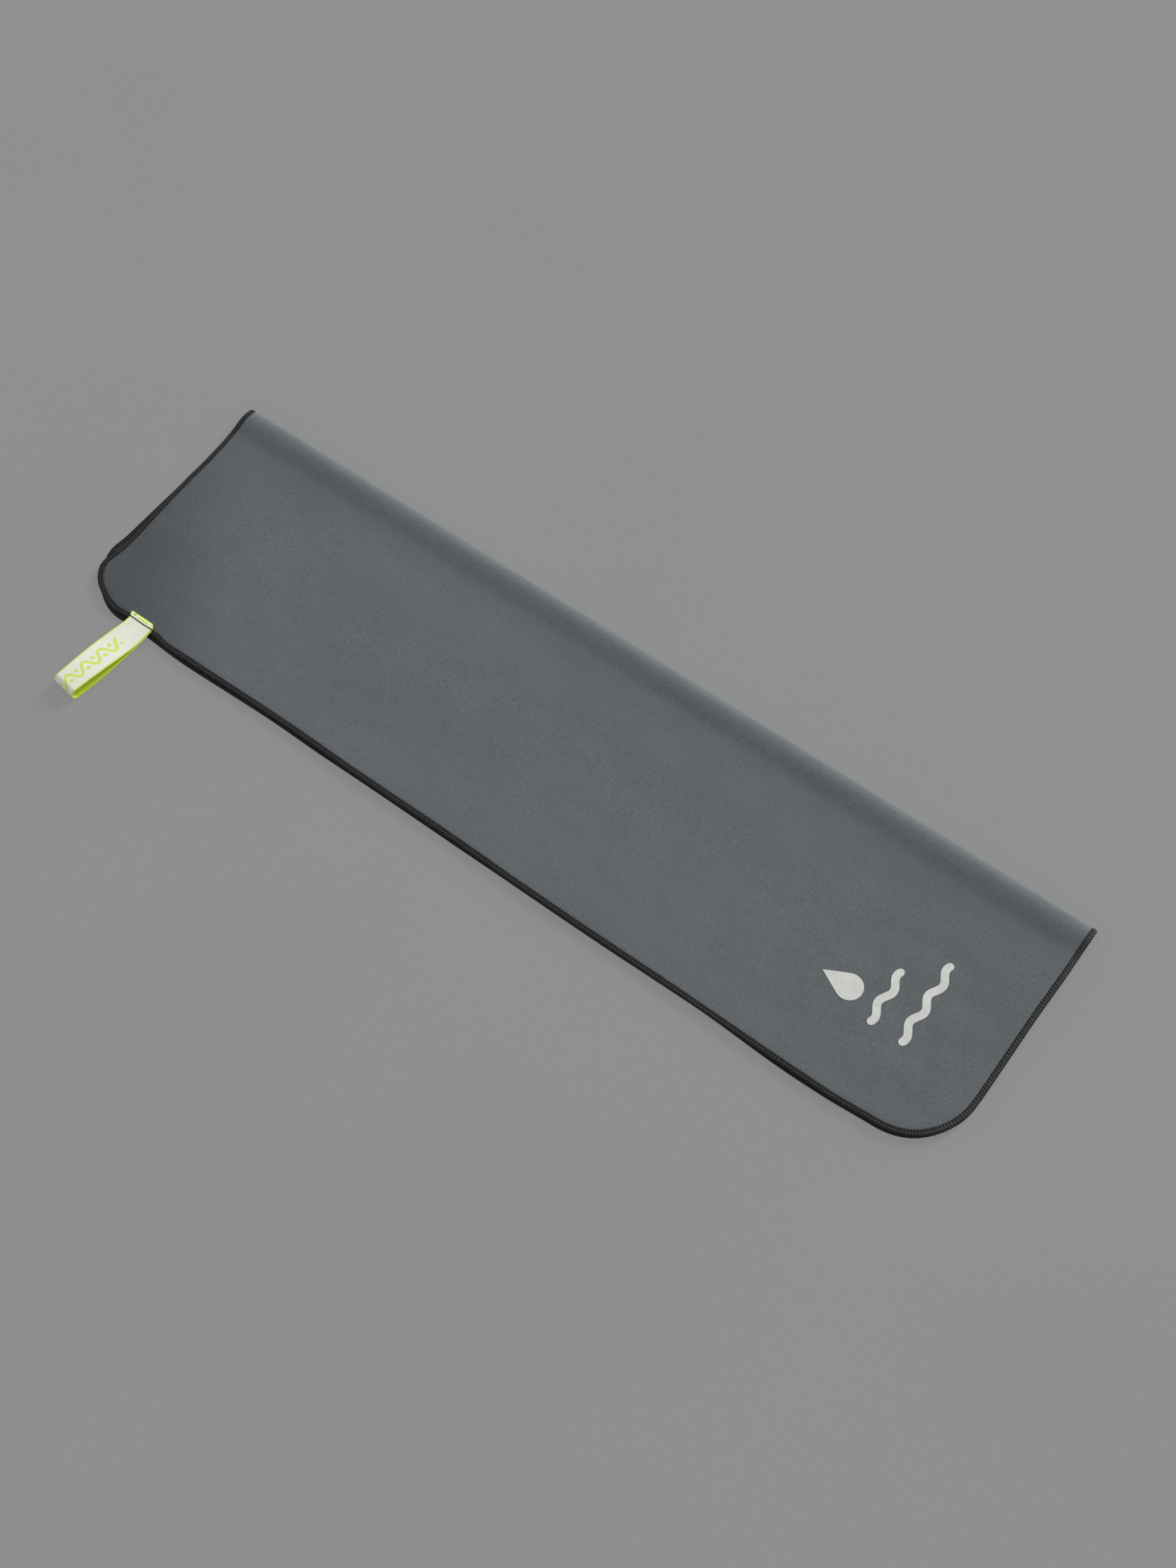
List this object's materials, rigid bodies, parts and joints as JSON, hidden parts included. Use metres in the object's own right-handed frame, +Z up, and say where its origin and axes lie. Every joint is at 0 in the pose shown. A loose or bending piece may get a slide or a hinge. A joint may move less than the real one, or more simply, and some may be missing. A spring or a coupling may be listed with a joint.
{
  "type": "quick dry towel",
  "caption": "Microfibre sports towel folded once along its length, with rounded corners, a black overlock hem, a printed mark and a hang loop of woven tape.",
  "frame": {"origin": "middle of the underside of the folded towel, on the surface that it lies on", "axes": "+X along the towel's length, +Y from the open edges towards the fold, +Z up"},
  "size_m": [0.8, 0.295, 0.0095],
  "materials": {
    "grey_microfibre": "matt brushed microfibre suede",
    "black_hem_thread": "textured polyester overlock thread",
    "white_and_lime_tape": "woven polyester tape, off-white face with lime edges and lime back",
    "black_sewing_thread": "spun polyester sewing thread",
    "print_film": "matt heat-transfer film, off-white"
  },
  "bodies": {
    "lower_half": {"lower_cloth": "grey_microfibre", "lower_hem_needle_thread": "black_hem_thread", "lower_hem_face_thread": "black_hem_thread", "lower_hem_back_thread": "black_hem_thread"},
    "upper_half": {"upper_cloth": "grey_microfibre", "upper_hem_needle_thread": "black_hem_thread", "upper_hem_face_thread": "black_hem_thread", "upper_hem_back_thread": "black_hem_thread", "loop_sewn_end": "white_and_lime_tape", "loop_needle_thread": "black_sewing_thread", "loop_bobbin_thread": "black_sewing_thread", "print_drop": "print_film", "print_short_wave": "print_film", "print_long_wave": "print_film"},
    "hang_loop": {"loop_band": "white_and_lime_tape"}
  },
  "joints": [
    {"name": "fold_open", "type": "hinge", "parent": "lower_half", "child": "upper_half", "pos_m": [0, 0.11015, 0.0035], "axis": [-1, 0, 0], "range_deg": [0, 180.8]},
    {"name": "loop_swing", "type": "hinge", "parent": "upper_half", "child": "hang_loop", "pos_m": [-0.331, -0.1088, 0.0058], "axis": [-1, 0, 0], "range_deg": [0, 165]}
  ]
}
